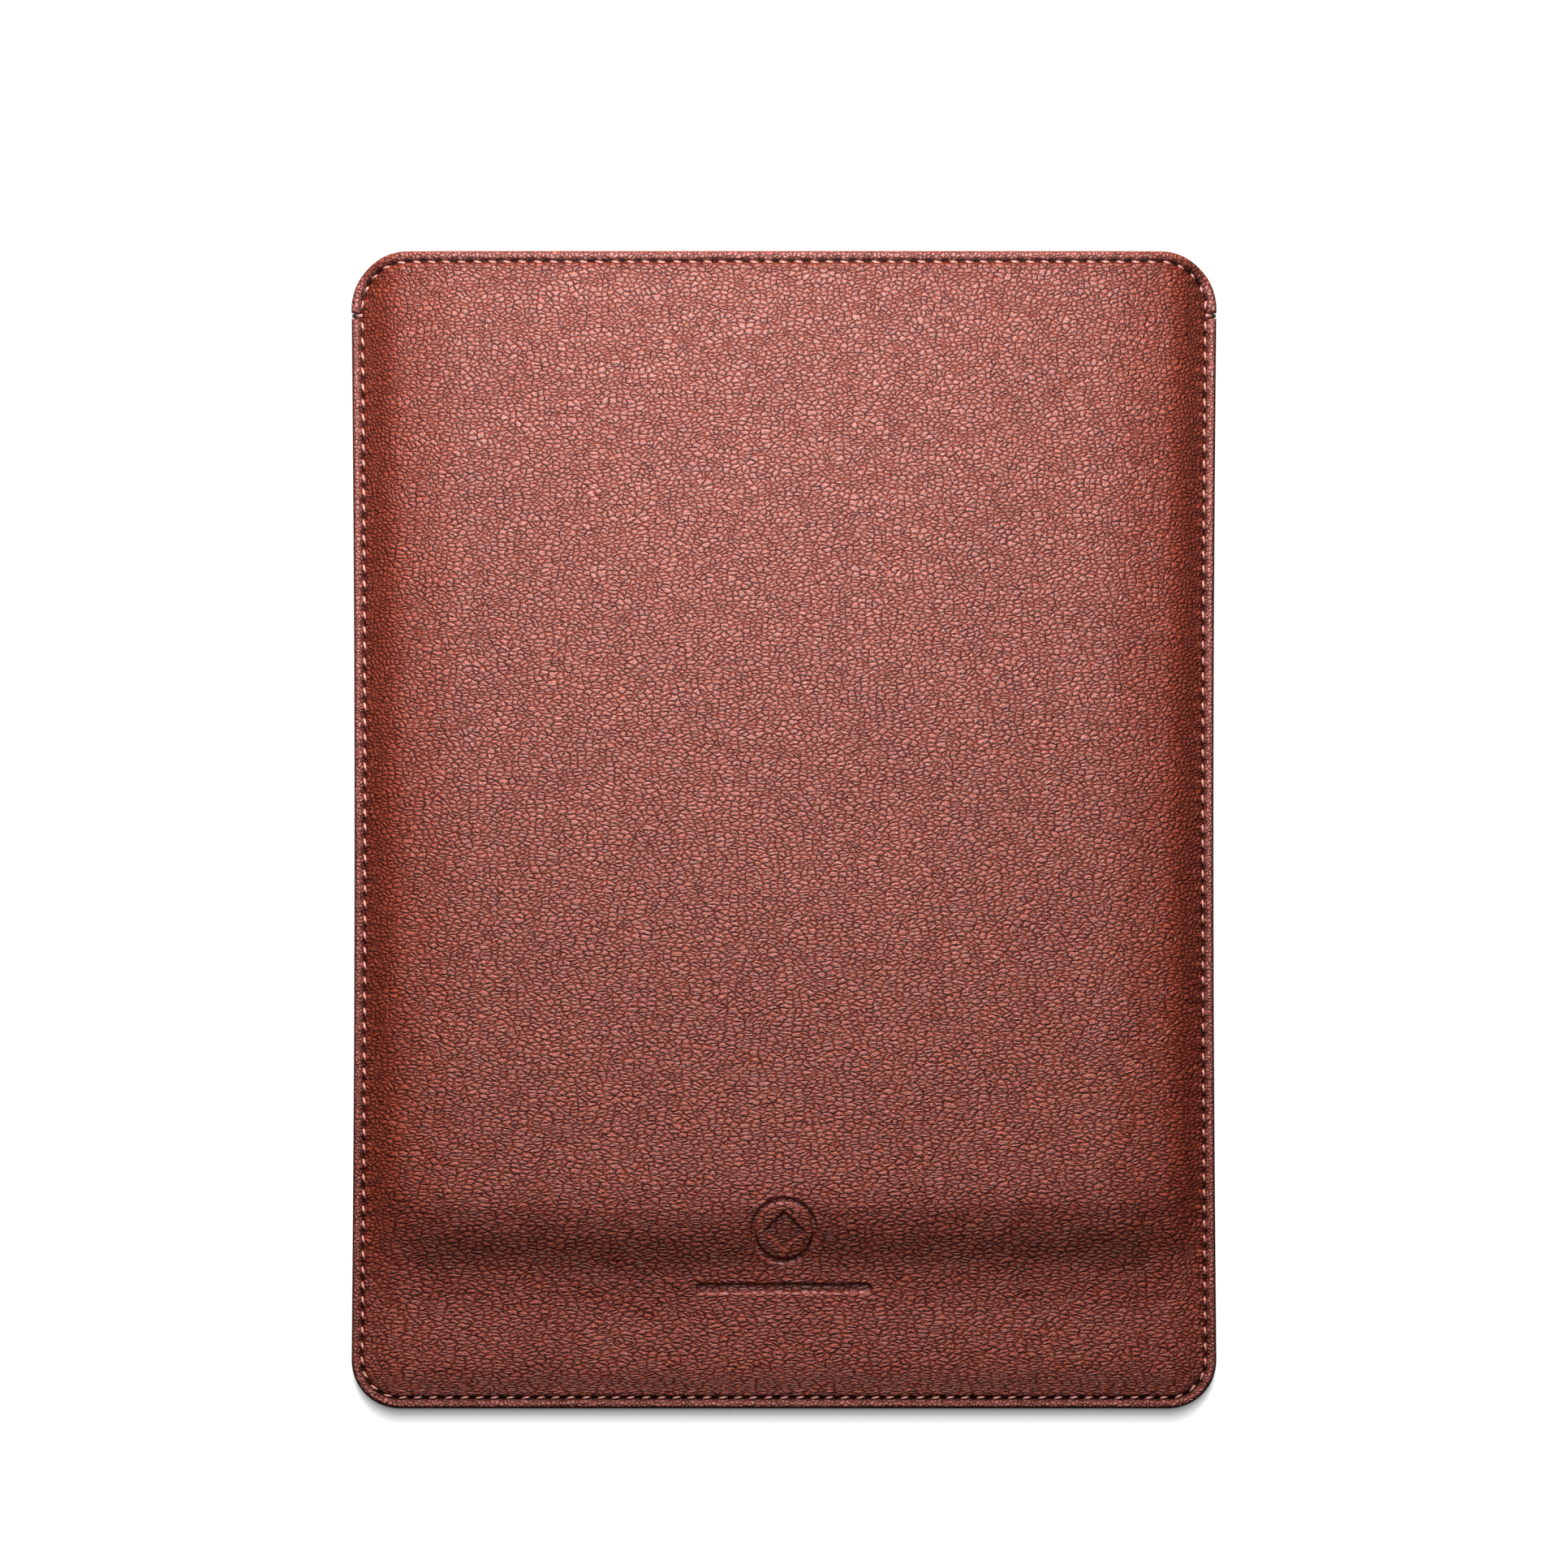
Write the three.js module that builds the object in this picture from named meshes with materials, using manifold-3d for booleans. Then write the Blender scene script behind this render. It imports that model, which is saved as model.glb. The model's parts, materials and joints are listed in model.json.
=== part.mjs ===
// A padded leather laptop sleeve, lying on its back with its mouth towards +Y.
// Millimetres, +Z up. X runs across the width and Y along the length. The origin is
// the middle of the flat underside.
//
// Each face of the sleeve is a stack of layers under one outer surface. That surface
// depends only on the distance from the sewn edge, a U that runs down one side, round
// the foot and up the other side. Depth is measured inwards from the outer surface,
// at right angles to it.
import * as THREE from 'three';
import { mergeVertices } from 'three/addons/utils/BufferGeometryUtils.js';
import Module from 'manifold-3d';

const wasm = await Module();
wasm.setup();

// The outline, seen from above.
const WIDTH = 236;
const LENGTH = 315;
const MOUTH_CORNER_RADIUS = 15.5;
const FOOT_CORNER_RADIUS = 13.3;

// The layers and the clearance between neighbours.
const LEATHER = 1.4;
const FELT = 2;
const PRESSED_FELT = 0.6;
const BINDING = 0.6;
const THREAD = 0.6;
const GAP = 0.2;

// The rim: a binding, then the ditch that the stitches lie in.
const RIM_WIDTH = 2.55;
const DITCH_WIDTH = 0.9;
const DITCH_INSET = RIM_WIDTH + DITCH_WIDTH;
const STITCH_INSET = RIM_WIDTH + DITCH_WIDTH / 2;

// The height of each face above the seam, from its sewn edge to the middle.
const SHOULDER_RISE = 8.9;
const SHOULDER_WIDTH = 17;
const SHOULDER_POWER = 5;
const CROWN_RISE = 0.6;
const CROWN_WIDTH = 28;
const EDGE_HEIGHT = GAP / 2 + PRESSED_FELT + GAP + LEATHER;
const SEAM_Z = EDGE_HEIGHT + SHOULDER_RISE;

// The mouth: the two lips part from the side seams at the notches.
const NOTCH_Y = 141;
const NOTCH_HALF_WIDTH = 0.1;
const TACK_FOOT_Y = 139.6;
const TACK_HEAD_Y = NOTCH_Y - NOTCH_HALF_WIDTH;

// How finely the curved stretches are divided.
const SHOULDER_STEPS = 9;
const CROWN_STEPS = 2;
const CORNER_STEPS = 5;
const ARC_SEGMENTS = 8;
const SMALLEST_RADIUS = 0.4;
const MARGIN = 1;
const FAR_Y = LENGTH / 2 + 10;
const HIGH_Z = 60;

const COLOURS = { leather: 0x9c574b, binding: 0xa46254, felt: 0x8b8b88, thread: 0xc08478 };

// ---- The outer surface -------------------------------------------------------------

/** How much of the shoulder's rise is reached at a share of its width, from 0 to 1. */
function shoulderShare(share) {
  const v = THREE.MathUtils.clamp(share, 0, 1);
  return 1 - (1 - v) ** SHOULDER_POWER * (1 + SHOULDER_POWER * v);
}

/** The steepness of the shoulder at a distance from the sewn edge. */
function shoulderSlope(distance) {
  const v = THREE.MathUtils.clamp((distance - RIM_WIDTH) / SHOULDER_WIDTH, 0, 1);
  const steepness = SHOULDER_POWER * (SHOULDER_POWER + 1) * v * (1 - v) ** (SHOULDER_POWER - 1);
  return (steepness * SHOULDER_RISE) / SHOULDER_WIDTH;
}

/** How far a face's outer surface stands off the seam's plane. */
function faceHeight(distance, crown) {
  const shoulder = shoulderShare((distance - RIM_WIDTH) / SHOULDER_WIDTH) * SHOULDER_RISE;
  const crownStart = RIM_WIDTH + SHOULDER_WIDTH;
  const rise = crown * THREE.MathUtils.smoothstep(distance, crownStart, crownStart + CROWN_WIDTH);
  return EDGE_HEIGHT + shoulder + rise;
}

/** The height off the seam's plane at a depth below the outer surface. */
function layerHeight(distance, depth, crown) {
  const along = Math.hypot(1, shoulderSlope(distance));
  return faceHeight(distance, crown) - depth * along;
}

const front = (depth) => (distance) => SEAM_Z + layerHeight(distance, depth, CROWN_RISE);
const back = (depth) => (distance) => SEAM_Z - layerHeight(distance, depth, 0);

/** The felt's inner face: full thickness in the middle, pressed flat in the seam. */
const FELT_DEPTH = LEATHER + GAP + FELT;
const frontFelt = (distance) => Math.max(SEAM_Z + GAP / 2, front(FELT_DEPTH)(distance));
const backFelt = (distance) => Math.min(SEAM_Z - GAP / 2, back(FELT_DEPTH)(distance));

// ---- Solids ------------------------------------------------------------------------

/** A closed three.js geometry as a solid that can be joined and cut. */
function toSolid(geometry) {
  geometry.deleteAttribute('normal');
  geometry.deleteAttribute('uv');
  const merged = mergeVertices(geometry);
  return new wasm.Manifold(
    new wasm.Mesh({
      numProp: 3,
      vertProperties: new Float32Array(merged.attributes.position.array),
      triVerts: new Uint32Array(merged.index.array),
    }),
  );
}

/** The sewn edge moved inwards by a distance: a U from the open end and back to it. */
function ring(distance) {
  const radius = Math.max(FOOT_CORNER_RADIUS - distance, SMALLEST_RADIUS);
  const side = WIDTH / 2 - distance;
  const centreX = side - radius;
  const centreY = distance + radius - LENGTH / 2;
  const points = [[-side, FAR_Y]];
  for (const [x, start] of [[-centreX, Math.PI], [centreX, 1.5 * Math.PI]]) {
    for (let i = 0; i <= CORNER_STEPS; i += 1) {
      const angle = start + (i / CORNER_STEPS) * (Math.PI / 2);
      points.push([x + radius * Math.cos(angle), centreY + radius * Math.sin(angle)]);
    }
  }
  points.push([side, FAR_Y]);
  return points;
}

/** The distances from the sewn edge at which every layer is sampled. */
function ringDistances() {
  const distances = [-MARGIN, RIM_WIDTH];
  for (let i = 1; i <= SHOULDER_STEPS; i += 1) {
    distances.push(RIM_WIDTH + (i / SHOULDER_STEPS) * SHOULDER_WIDTH);
  }
  for (let i = 1; i <= CROWN_STEPS; i += 1) {
    distances.push(RIM_WIDTH + SHOULDER_WIDTH + (i / CROWN_STEPS) * CROWN_WIDTH);
  }
  return distances;
}

/** Everything between two surfaces, each a height for a distance from the sewn edge. */
function between(lower, upper) {
  const distances = ringDistances();
  const rings = distances.map(ring);
  const perRing = rings[0].length;
  const layerSize = rings.length * perRing;
  const positions = [];
  for (const surface of [lower, upper]) {
    rings.forEach((points, i) => {
      points.forEach(([x, y]) => positions.push(x, y, surface(distances[i])));
    });
  }
  const triangles = [];
  const quad = (a, b, c, d) => triangles.push(a, b, c, a, c, d);
  const at = (layer, i, j) => layer * layerSize + i * perRing + j;
  for (let i = 0; i + 1 < rings.length; i += 1) {
    for (let j = 0; j + 1 < perRing; j += 1) {
      quad(at(1, i, j), at(1, i, j + 1), at(1, i + 1, j + 1), at(1, i + 1, j));
      quad(at(0, i, j), at(0, i + 1, j), at(0, i + 1, j + 1), at(0, i, j + 1));
    }
    for (const j of [0, perRing - 1]) {
      const wall = [at(0, i, j), at(1, i, j), at(1, i + 1, j), at(0, i + 1, j)];
      quad(...(j === 0 ? wall : wall.reverse()));
    }
  }
  for (let j = 0; j + 1 < perRing; j += 1) {
    quad(at(0, 0, j), at(0, 0, j + 1), at(1, 0, j + 1), at(1, 0, j));
  }
  const last = rings.length - 1;
  const contour = rings[last].map(([x, y]) => new THREE.Vector2(x, y));
  for (const [a, b, c] of THREE.ShapeUtils.triangulateShape(contour, [])) {
    triangles.push(at(1, last, a), at(1, last, b), at(1, last, c));
    triangles.push(at(0, last, a), at(0, last, c), at(0, last, b));
  }
  quad(at(0, last, 0), at(1, last, 0), at(1, last, perRing - 1), at(0, last, perRing - 1));
  const geometry = new THREE.BufferGeometry();
  geometry.setAttribute('position', new THREE.Float32BufferAttribute(positions, 3));
  geometry.setIndex(triangles);
  return toSolid(geometry);
}

/** An upright block with the sleeve's outline, moved inwards by a distance. */
function outline(inset) {
  const side = WIDTH / 2 - inset;
  const end = LENGTH / 2 - inset;
  const mouthRadius = MOUTH_CORNER_RADIUS - inset;
  const footRadius = FOOT_CORNER_RADIUS - inset;
  const shape = new THREE.Shape();
  shape.absarc(side - mouthRadius, end - mouthRadius, mouthRadius, 0, Math.PI / 2);
  shape.absarc(mouthRadius - side, end - mouthRadius, mouthRadius, Math.PI / 2, Math.PI);
  shape.absarc(footRadius - side, footRadius - end, footRadius, Math.PI, 1.5 * Math.PI);
  shape.absarc(side - footRadius, footRadius - end, footRadius, 1.5 * Math.PI, 2 * Math.PI);
  const settings = { depth: 2 * HIGH_Z, bevelEnabled: false, curveSegments: ARC_SEGMENTS };
  return toSolid(new THREE.ExtrudeGeometry(shape, settings).translate(0, 0, -HIGH_Z));
}

/** Everything between two insets of the outline. */
function band(outer, inner) {
  return outline(outer).subtract(outline(inner));
}

/** An upright block between two corners in plan. */
function block([lowX, lowY], [highX, highY]) {
  const box = new THREE.BoxGeometry(highX - lowX, highY - lowY, 2 * HIGH_Z);
  return toSolid(box.translate((lowX + highX) / 2, (lowY + highY) / 2, 0));
}

// The parts of the sleeve on either side of the notches, and the two halves of it.
const BELOW_NOTCH = block([-WIDTH, -LENGTH], [WIDTH, NOTCH_Y - NOTCH_HALF_WIDTH]);
const ABOVE_NOTCH = block([-WIDTH, NOTCH_Y + NOTCH_HALF_WIDTH], [WIDTH, LENGTH]);
const BELOW_TACK = block([-WIDTH, -LENGTH], [WIDTH, TACK_FOOT_Y - GAP]);
const LEFT_TACK = block([-WIDTH, TACK_FOOT_Y], [0, TACK_HEAD_Y]);
const RIGHT_TACK = block([0, TACK_FOOT_Y], [WIDTH, TACK_HEAD_Y]);

/** The layer of one face between two depths. */
function layer(face, outerDepth, innerDepth) {
  const surfaces = [face(outerDepth), face(innerDepth)];
  return face === front ? between(surfaces[1], surfaces[0]) : between(...surfaces);
}

// ---- The pieces --------------------------------------------------------------------

/** A leather panel, skived round its edge to a tongue that the binding folds over. */
function leatherPanel(face) {
  const tongueDepth = BINDING + GAP;
  const skived = layer(face, -MARGIN, tongueDepth).subtract(outline(DITCH_INSET));
  return layer(face, 0, LEATHER).intersect(outline(BINDING + GAP)).subtract(skived);
}

/** A felt lining, pressed into the seams and butted to the binding inside the mouth. */
function feltLining(face) {
  const outer = face(LEATHER + GAP);
  const felt = face === front ? between(frontFelt, outer) : between(outer, backFelt);
  const sewn = felt.intersect(outline(BINDING + GAP)).intersect(BELOW_NOTCH);
  return sewn.add(felt.intersect(outline(DITCH_INSET)));
}

/** What folds over both faces at once, as wide as the band from the edge to an inset. */
function foldedOverBoth(inset) {
  const outside = between(back(0), front(0)).intersect(band(0, inset));
  const inside = between(back(BINDING), front(BINDING)).intersect(outline(BINDING));
  return outside.subtract(inside);
}

/** The binding of one lip, folded over the leather's tongue. */
function mouthBinding(face) {
  const innerDepth = LEATHER + GAP;
  const outside = layer(face, 0, innerDepth + BINDING).intersect(band(0, RIM_WIDTH));
  const inside = layer(face, BINDING, innerDepth).intersect(outline(BINDING));
  return outside.subtract(inside).intersect(ABOVE_NOTCH);
}

/** A sewing thread laid in the ditch, its middle half a thread below a given depth. */
function ditchThread(face, depth) {
  const ditch = band(STITCH_INSET - THREAD / 2, STITCH_INSET + THREAD / 2);
  return layer(face, depth, depth + THREAD).intersect(ditch);
}

const OUTER_DITCH_DEPTH = GAP / 2;
const INNER_DITCH_DEPTH = LEATHER + GAP / 2;

/** One named node, in its own material. */
function piece(name, solid, kind) {
  const { vertProperties, triVerts } = solid.getMesh();
  const geometry = new THREE.BufferGeometry();
  geometry.setAttribute('position', new THREE.BufferAttribute(vertProperties, 3));
  geometry.setIndex(new THREE.BufferAttribute(triVerts, 1));
  const roughness = kind === 'felt' ? 0.95 : 0.55;
  const material = new THREE.MeshStandardMaterial({ color: COLOURS[kind], roughness, metalness: 0 });
  const mesh = new THREE.Mesh(geometry, material);
  mesh.name = name;
  return mesh;
}

const sleeve = new THREE.Group();
const frontLeather = leatherPanel(front);
const frontLining = feltLining(front);
const seamFold = foldedOverBoth(RIM_WIDTH);
const tackFold = foldedOverBoth(DITCH_INSET - GAP);

sleeve.add(
  piece('front_leather_panel', frontLeather.intersect(BELOW_NOTCH), 'leather'),
  piece('front_lip_leather', frontLeather.intersect(ABOVE_NOTCH), 'leather'),
  piece('front_felt_lining', frontLining.intersect(BELOW_NOTCH), 'felt'),
  piece('front_lip_felt', frontLining.intersect(ABOVE_NOTCH), 'felt'),
  piece('back_leather_panel', leatherPanel(back), 'leather'),
  piece('back_felt_lining', feltLining(back), 'felt'),
  piece('side_and_foot_binding', seamFold.intersect(BELOW_TACK), 'binding'),
  piece('front_mouth_binding', mouthBinding(front), 'binding'),
  piece('back_mouth_binding', mouthBinding(back), 'binding'),
  piece('left_notch_bar_tack', tackFold.intersect(LEFT_TACK), 'thread'),
  piece('right_notch_bar_tack', tackFold.intersect(RIGHT_TACK), 'thread'),
);

for (const [face, side] of [[front, 'needle'], [back, 'bobbin']]) {
  const thread = ditchThread(face, OUTER_DITCH_DEPTH).intersect(BELOW_TACK);
  sleeve.add(piece(`side_seam_${side}_thread`, thread, 'thread'));
}

for (const [face, lip] of [[front, 'front'], [back, 'back']]) {
  for (const [side, depth] of [['needle', OUTER_DITCH_DEPTH], ['bobbin', INNER_DITCH_DEPTH]]) {
    const thread = ditchThread(face, depth).intersect(ABOVE_NOTCH);
    sleeve.add(piece(`${lip}_mouth_${side}_thread`, thread, 'thread'));
  }
}

export default sleeve;
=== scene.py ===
"""The looks of a leather laptop sleeve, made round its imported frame. Metres, +Z up.

The sleeve lies on its back with its mouth towards +Y and its front face up. Each face is
a stack of layers under one outer surface, whose height depends on the distance from the
sewn edge: a U down one side, round the foot and up the other side.
"""
import json
import math

import bpy
import numpy as np
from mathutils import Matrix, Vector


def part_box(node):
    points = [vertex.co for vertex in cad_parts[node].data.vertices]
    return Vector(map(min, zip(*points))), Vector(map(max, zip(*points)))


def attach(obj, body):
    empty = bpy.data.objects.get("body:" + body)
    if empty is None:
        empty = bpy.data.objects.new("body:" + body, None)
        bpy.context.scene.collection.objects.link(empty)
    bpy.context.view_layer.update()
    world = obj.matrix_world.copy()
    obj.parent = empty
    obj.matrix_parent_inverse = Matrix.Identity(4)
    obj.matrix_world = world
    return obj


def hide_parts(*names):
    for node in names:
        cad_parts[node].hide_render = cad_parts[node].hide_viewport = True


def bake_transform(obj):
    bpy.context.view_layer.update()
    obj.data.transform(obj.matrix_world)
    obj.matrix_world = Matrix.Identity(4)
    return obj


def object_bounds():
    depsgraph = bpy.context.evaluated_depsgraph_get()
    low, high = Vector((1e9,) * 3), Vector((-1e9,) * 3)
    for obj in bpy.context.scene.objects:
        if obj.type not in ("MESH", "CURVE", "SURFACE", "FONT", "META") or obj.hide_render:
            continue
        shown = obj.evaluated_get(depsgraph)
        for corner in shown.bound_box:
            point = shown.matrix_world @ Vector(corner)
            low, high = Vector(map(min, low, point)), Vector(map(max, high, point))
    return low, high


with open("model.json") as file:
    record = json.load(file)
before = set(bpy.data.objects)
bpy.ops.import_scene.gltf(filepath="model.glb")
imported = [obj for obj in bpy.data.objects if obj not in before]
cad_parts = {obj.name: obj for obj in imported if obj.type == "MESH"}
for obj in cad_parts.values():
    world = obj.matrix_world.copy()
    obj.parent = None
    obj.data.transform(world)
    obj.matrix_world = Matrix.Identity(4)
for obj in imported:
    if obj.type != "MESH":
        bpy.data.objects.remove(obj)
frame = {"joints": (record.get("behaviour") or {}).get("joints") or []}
cad_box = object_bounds()

MM = 0.001

# ---- Sizes ---------------------------------------------------------------------------

# From the frame.
HALF_WIDTH = cad_box[1].x
HALF_LENGTH = cad_box[1].y
rim_low, rim_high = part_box("side_and_foot_binding")
SEAM_Z = (rim_low.z + rim_high.z) / 2
EDGE_HEIGHT = (rim_high.z - rim_low.z) / 2
SIDE_SEAM_END = rim_high.y
MOUTH_SEAM_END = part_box("front_mouth_binding")[0].y
NOTCH_Y = frame["joints"][0]["pos_m"][1]

# The same as the CAD's own driving sizes.
FOOT_RADIUS = 13.3 * MM
MOUTH_RADIUS = 15.5 * MM
SHOULDER_RISE = SEAM_Z - EDGE_HEIGHT
SHOULDER_WIDTH = 17 * MM
SHOULDER_POWER = 5
CROWN_RISE = cad_box[1].z - 2 * SEAM_Z
LEATHER = 1.4 * MM
FELT = 2 * MM
GAP = 0.2 * MM
RIM_WIDTH = 2.55 * MM
STITCH_INSET = 3.0 * MM

# The outline is drawn in by this much half way along, and the leather and the felt stop
# this far inside it.
WAIST = 0.9 * MM
PANEL_INSET = 0.8 * MM

# Corners get rounder away from the edge.
CORNER_SPREAD = 2 * MM
CORNER_ROUNDING = 0.2

# The laptop that fills the sleeve, in plan.
LAPTOP_HALF_WIDTH = 106.2 * MM
LAPTOP_FOOT_Y = 48 * MM - HALF_LENGTH
LAPTOP_CORNER = 16 * MM

# How much of its rise the front loses past the laptop's end. It sinks in three steps: each
# one's share, how far before the end it starts, and its length. The way past the laptop's
# sides counts for less than the way past its end.
FOOT_SINK = 0.78
SINK_STEPS = ((0.46, 9 * MM, 20 * MM), (0.34, 1 * MM, 24 * MM), (0.2, 24 * MM, 44 * MM))
SINK_FADE = 12 * MM
SIDE_SINK = 0.6

# The front's slow rise inside its shoulder, and the unevenness on top of it.
PILLOW_RISE = 3.0 * MM
PILLOW_START = 4 * MM
PILLOW_WIDTH = 26 * MM
RELAX_START = 8 * MM
RELAX_WIDTH = 20 * MM
RELAX_HEIGHT = 0.05 * MM

# The pressed mark.
EMBLEM_Y = 48.8 * MM - HALF_LENGTH
RING_RADIUS = 8.4 * MM
RING_HALF_WIDTH = 0.7 * MM
DIAMOND_REACH = 5.4 * MM
BAR_Y = 32.9 * MM - HALF_LENGTH
BAR_HALF_LENGTH = 22.6 * MM
BAR_HALF_WIDTH = 1.3 * MM
PRESS_DEPTH = 0.6 * MM
PRESS_SOFTNESS = 0.28 * MM

# The stitching.
STITCH_PITCH = 4.15 * MM
STITCH_SHARE = 0.6
STITCH_SLANT = 0.5 * MM
STITCH_DROP = 0.95 * MM
THREAD_RADIUS = 0.34 * MM
PLY_SWELL = 0.14
PLY_LENGTH = 2.6 * MM
TACK_WRAP = math.radians(125)
TACK_SHARES = (0.35, 0.65)
DITCH_EDGE = 2.9 * MM
DITCH_WALL = 0.8 * MM
DITCH_DEPTH = 0.8 * MM
PUCKER_START = 3.2 * MM
PUCKER_RISE = 0.9 * MM
PUCKER_END = 4.2 * MM
PUCKER_FALL = 2 * MM
PUCKER_DEPTH = 0.25 * MM

# The folded edges: how far in the fold is highest, how far it falls from there to the ditch,
# how far it reaches under the leather beyond it, and how far in its hidden side lies. Then
# its height off its middle over the seam and over one lip, and the depth of a lip's middle.
RIM_CREST = 0.85 * MM
RIM_FALL = 0.75 * MM
RIM_OVERLAP = 0.1 * MM
RIM_TUCK = 0.6 * MM
SEAM_BULGE = EDGE_HEIGHT + 0.25 * MM
LIP_BULGE = 1.3 * MM
LIP_MIDDLE = 1.05 * MM


# ---- Surfaces ------------------------------------------------------------------------


def smooth(t):
    """0 below 0, 1 above 1, and an even S between."""
    t = np.clip(t, 0, 1)
    return t * t * (3 - 2 * t)


def from_corner(side, end, radius):
    """The distance in from two straight edges that meet in an arc."""
    in_arc = (side < radius) & (end < radius)
    arc = radius - np.hypot(radius - side, radius - end)
    return np.where(in_arc, arc, np.minimum(side, end))


def from_seam(x, y):
    """The distance in from the sewn edge, with the foot's corners rounder further in."""
    side = HALF_WIDTH - np.abs(x)
    foot = HALF_LENGTH + y
    distance = from_corner(side, foot, FOOT_RADIUS)
    spread = np.maximum(distance, 0) + CORNER_SPREAD
    near_corner = np.clip(1 - np.abs(side - foot) / spread, 0, 1)
    return distance * (1 - CORNER_ROUNDING * near_corner**2)


def from_edge(x, y):
    """The distance in from the sleeve's whole outline, the mouth included."""
    side = HALF_WIDTH - np.abs(x)
    foot = from_corner(side, HALF_LENGTH + y, FOOT_RADIUS)
    mouth = from_corner(side, HALF_LENGTH - y, MOUTH_RADIUS)
    return np.minimum(foot, mouth)


def shoulder(distance):
    """The shoulder's height and steepness at a distance from the sewn edge."""
    v = np.clip((distance - RIM_WIDTH) / SHOULDER_WIDTH, 0, 1)
    n = SHOULDER_POWER
    height = SHOULDER_RISE * (1 - (1 - v) ** n * (1 + n * v))
    steepness = SHOULDER_RISE / SHOULDER_WIDTH * n * (n + 1) * v * (1 - v) ** (n - 1)
    return height, steepness


def sink(x, y):
    """How far the front has sunk past the laptop's end, from 0 to 1."""
    beyond_x = np.abs(x) - (LAPTOP_HALF_WIDTH - LAPTOP_CORNER)
    beyond_y = LAPTOP_FOOT_Y + LAPTOP_CORNER - y
    beyond_side = np.maximum(beyond_x, 0) * SIDE_SINK
    past = np.hypot(beyond_side, np.maximum(beyond_y, 0)) - LAPTOP_CORNER
    wave = 0.8 * MM * np.sin(x / (31 * MM)) + 0.5 * MM * np.sin(x / (13 * MM) + 1)
    past = past + wave
    sunk = sum(share * smooth((past + lead) / length) for share, lead, length in SINK_STEPS)
    return sunk * smooth(beyond_y / SINK_FADE)


def relax(x, y):
    """The slow unevenness of a hide stretched over felt, 0 where it is highest."""
    u, v = x / MM, y / MM
    waves = np.sin(u / 17 + v / 29) + np.sin(u / 11 - v / 23 + 2) + np.sin(v / 14 + u / 41 + 4)
    return RELAX_HEIGHT * (waves - 3)


def front_height(x, y):
    """The front leather's outer surface, as the bindings and the felt follow it."""
    distance = from_seam(x, y)
    full_rise = SHOULDER_RISE + CROWN_RISE
    rise = shoulder(distance)[0] * (full_rise - PILLOW_RISE) / SHOULDER_RISE
    rise += PILLOW_RISE * smooth((distance - PILLOW_START) / PILLOW_WIDTH)
    rise *= 1 - FOOT_SINK * sink(x, y)
    inland = smooth((distance - RELAX_START) / RELAX_WIDTH)
    return SEAM_Z + EDGE_HEIGHT + rise + relax(x, y) * inland


def back_height(x, y):
    """The back leather's outer surface, flat where it rests."""
    return SEAM_Z - EDGE_HEIGHT - shoulder(from_seam(x, y))[0]


def along(x, y):
    """How much thicker a layer is upright than at right angles to its slope."""
    return np.hypot(1, shoulder(from_seam(x, y))[1])


FRONT, BACK = 1, -1
OUTER = {FRONT: front_height, BACK: back_height}


def at_depth(face, x, y, depth):
    """The height of the surface that lies a depth inside a face's outer surface."""
    return OUTER[face](x, y) - face * depth * along(x, y)


# ---- The run along an edge -----------------------------------------------------------

MOUTH, SEAM = 1, -1
CORNER = {MOUTH: MOUTH_RADIUS, SEAM: FOOT_RADIUS}
START = {MOUTH: MOUTH_SEAM_END, SEAM: -SIDE_SEAM_END}


def edge_lengths(edge):
    """The straight, the bend and the whole length of an edge's stitch line."""
    straight = HALF_LENGTH - CORNER[edge] - START[edge]
    bend = (CORNER[edge] - STITCH_INSET) * math.pi / 2
    return straight, bend, 2 * (straight + bend + HALF_WIDTH - CORNER[edge])


STITCHES = {edge: round(edge_lengths(edge)[2] / STITCH_PITCH) for edge in (MOUTH, SEAM)}
PITCH = {edge: edge_lengths(edge)[2] / STITCHES[edge] for edge in (MOUTH, SEAM)}


def edge_point(edge, run):
    """Points on an edge's stitch line, and their inward directions, from the left notch."""
    straight, bend, total = edge_lengths(edge)
    radius = CORNER[edge]
    half_run = np.minimum(run, total - run)
    angle = (half_run - straight) / (radius - STITCH_INSET)
    in_straight = half_run < straight
    in_bend = half_run < straight + bend
    turned = np.where(in_straight, 0, np.where(in_bend, angle, math.pi / 2))
    reach = radius - STITCH_INSET
    x = -(HALF_WIDTH - radius) - reach * np.cos(turned)
    x += np.where(in_bend, 0, half_run - straight - bend)
    y = HALF_LENGTH - radius + reach * np.sin(turned)
    y += np.where(in_straight, half_run - straight, 0)
    mirror = np.where(run > total / 2, -1, 1)
    inward = np.stack([np.cos(turned) * mirror, -np.sin(turned) * edge], -1)
    return np.stack([x * mirror, y * edge], -1), inward


def edge_run(x, y):
    """The run along the nearest stitch line, in stitches, for points close to the outline."""
    edge = np.where(y > NOTCH_Y, MOUTH, SEAM)
    run = np.zeros_like(x)
    for this in (MOUTH, SEAM):
        straight, bend, _ = edge_lengths(this)
        radius = CORNER[this]
        out_x = np.abs(x) - (HALF_WIDTH - radius)
        out_y = y * this - (HALF_LENGTH - radius)
        angle = np.arctan2(np.maximum(out_y, 0), np.maximum(out_x, 1e-9))
        here = np.where(out_y < 0, straight + out_y, straight + angle * bend / (math.pi / 2))
        here = np.where((out_x < 0) & (out_y > 0), straight + bend - out_x, here)
        run = np.where(edge == this, here / PITCH[this], run)
    return run


# ---- Meshes --------------------------------------------------------------------------


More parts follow.
